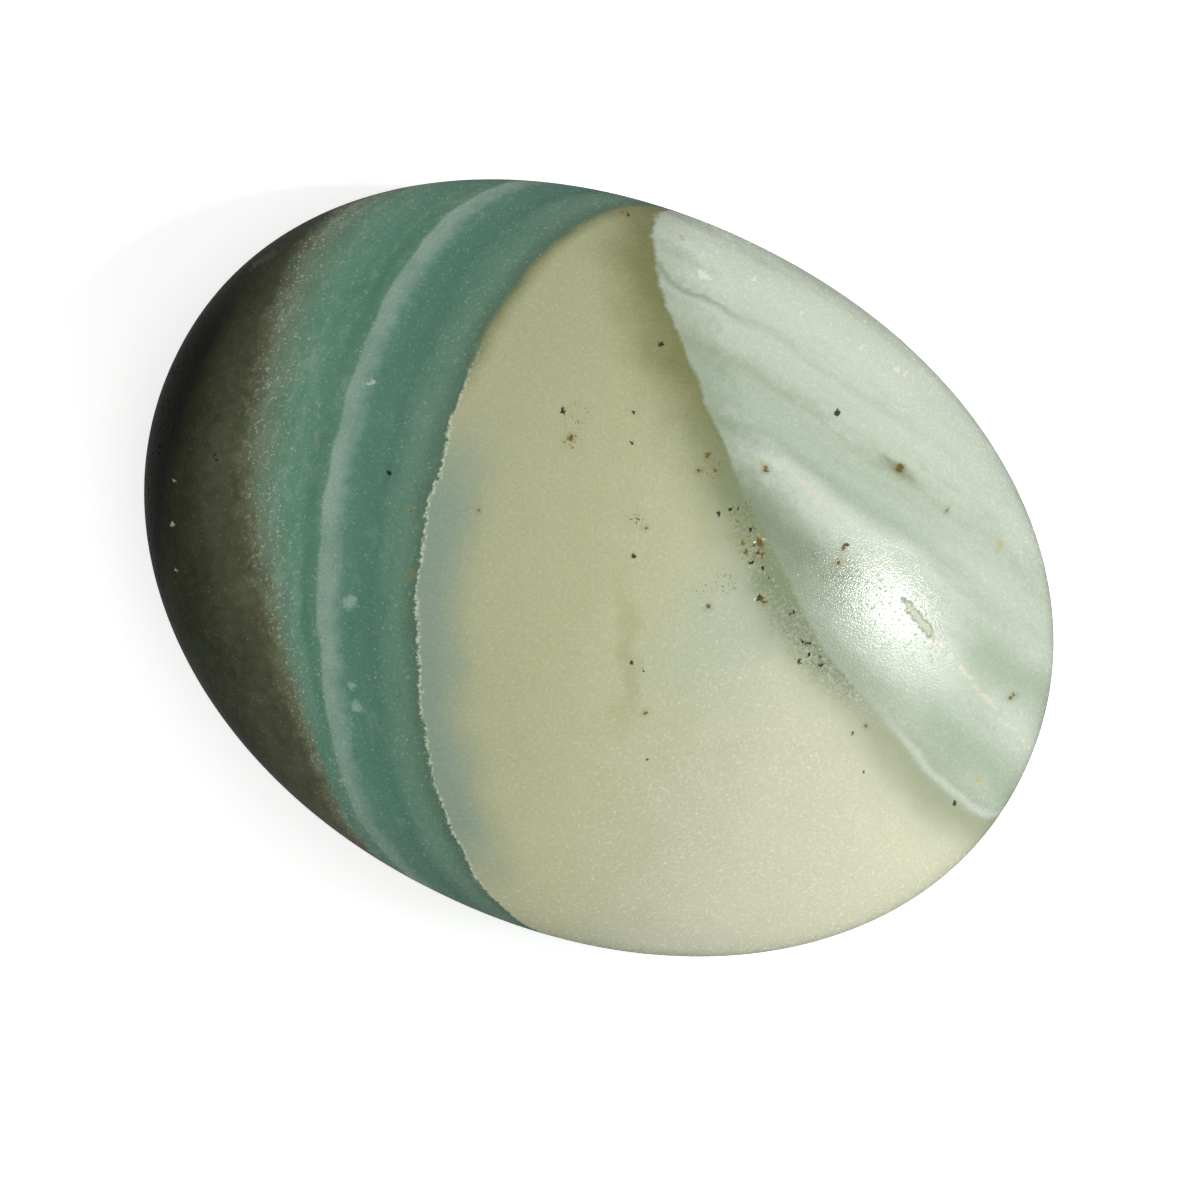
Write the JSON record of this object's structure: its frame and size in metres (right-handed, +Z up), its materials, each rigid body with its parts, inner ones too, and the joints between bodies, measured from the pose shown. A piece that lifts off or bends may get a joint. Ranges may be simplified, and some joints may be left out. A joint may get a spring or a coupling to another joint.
{
  "type": "worry stone",
  "caption": "Smooth flattened oval stone to hold and rub in the hand, domed on both sides, with slanting bands of dark umber, teal, cream and pale green.",
  "frame": {"origin": "on the resting flat, under the middle of the stone's bounding box", "axes": "+X along the stone's length, towards its pale green end; +Y across it; +Z up out of the domed side that the picture shows"},
  "size_m": [0.05, 0.0382, 0.0189],
  "materials": {
    "polished_stone": "gloss"
  },
  "bodies": {
    "root": {"stone": "polished_stone"}
  },
  "joints": []
}
